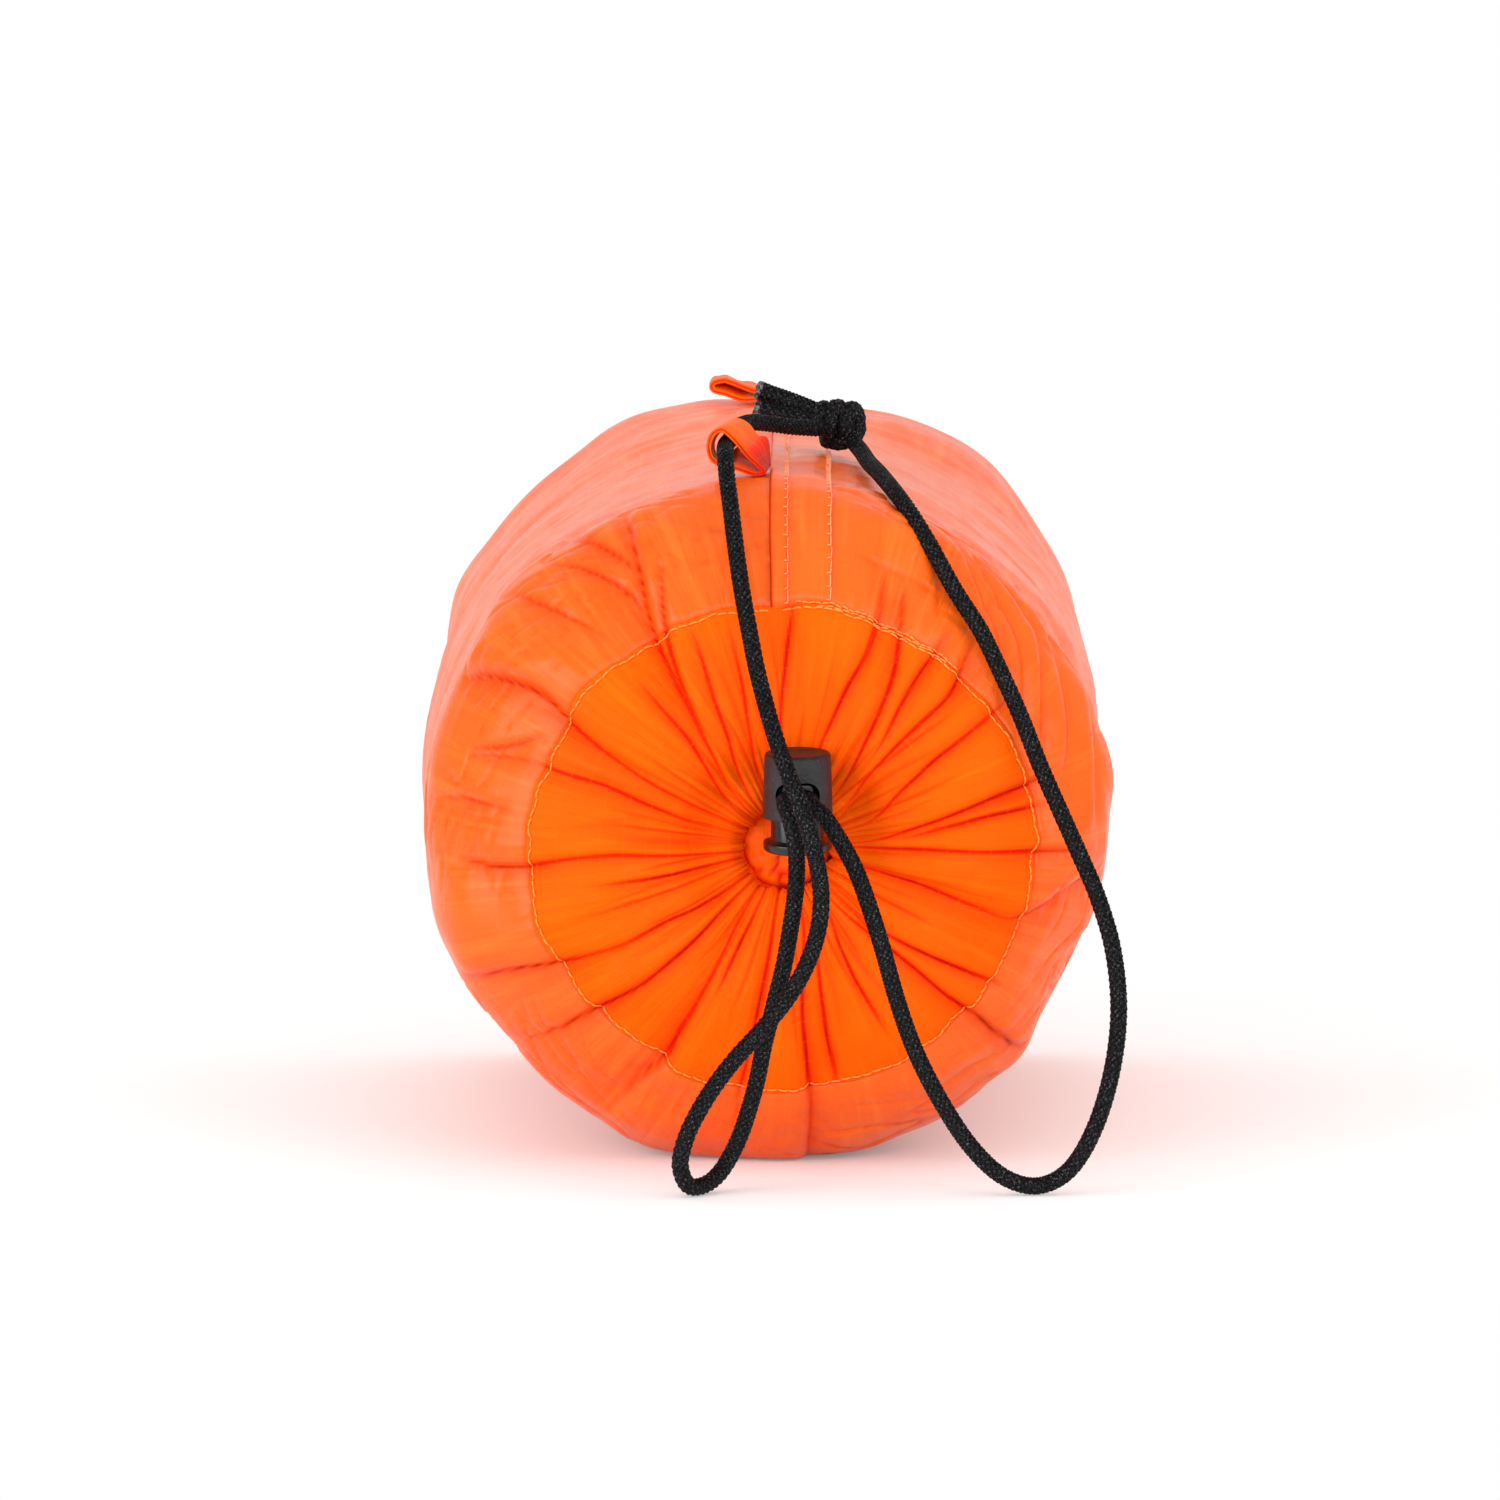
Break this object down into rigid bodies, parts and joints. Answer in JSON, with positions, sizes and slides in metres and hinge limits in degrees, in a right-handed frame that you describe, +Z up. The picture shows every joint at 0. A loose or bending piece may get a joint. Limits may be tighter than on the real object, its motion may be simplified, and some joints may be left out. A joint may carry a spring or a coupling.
{
  "type": "bothy bag",
  "caption": "Packed group emergency shelter in a round nylon stuff sack lying on its side, mouth gathered by a drawcord with a spring barrel cord lock, hang loops in the seam.",
  "frame": {"origin": "on the ground, under the middle of the sack as it lies on its side", "axes": "+Z up, +Y along the sack from the gathered mouth to the base panel, +X to the right as seen from the mouth"},
  "size_m": [0.159, 0.2785, 0.1659],
  "materials": {
    "coated_nylon": "orange silicone coated ripstop nylon, satin",
    "hem_nylon": "double layer of orange coated ripstop nylon, satin",
    "binding_tape": "orange woven binding tape",
    "loop_nylon": "folded orange nylon, stitched",
    "shelter_nylon": "folded orange nylon",
    "braided_cord": "black braided cord, matte",
    "lock_body_plastic": "moulded black plastic, fine matte",
    "lock_button_plastic": "moulded black plastic, semi-gloss",
    "spring_steel": "bright spring wire"
  },
  "bodies": {
    "sack": {"sack_wall": "coated_nylon", "mouth_hem": "hem_nylon", "sack_base": "coated_nylon", "base_binding": "binding_tape", "side_seam_band": "coated_nylon", "packed_shelter": "shelter_nylon", "drawcord_mouth_ring": "braided_cord", "drawcord_long_run": "braided_cord", "drawcord_slack_run": "braided_cord", "drawcord_knot": "braided_cord"},
    "lock": {"lock_barrel": "lock_body_plastic", "lock_spring": "spring_steel"},
    "plunger": {"lock_plunger": "lock_button_plastic"},
    "front_loop": {"front_hang_loop": "loop_nylon"},
    "rear_loop": {"rear_hang_loop": "loop_nylon"}
  },
  "joints": [
    {"name": "lock_slide", "type": "slide", "parent": "sack", "child": "lock", "axis": [0, -0.9945, -0.1045], "range_m": [0, 0.012], "deforming": ["drawcord_long_run", "drawcord_slack_run"]},
    {"name": "plunger_press", "type": "slide", "parent": "lock", "child": "plunger", "axis": [0, -0.1045, 0.9945], "range_m": [0, 0.0019], "stiffness_N_per_m": 1500, "springref_m": -0.002, "deforming": ["lock_spring"]},
    {"name": "front_loop_fold", "type": "hinge", "parent": "sack", "child": "front_loop", "pos_m": [-0.0015, -0.08, 0.15014], "axis": [0, 1, 0], "range_deg": [0, 6]},
    {"name": "rear_loop_fold", "type": "hinge", "parent": "sack", "child": "rear_loop", "pos_m": [-0.0015, 0.099, 0.15871], "axis": [0, 1, 0], "range_deg": [0, 105]}
  ]
}
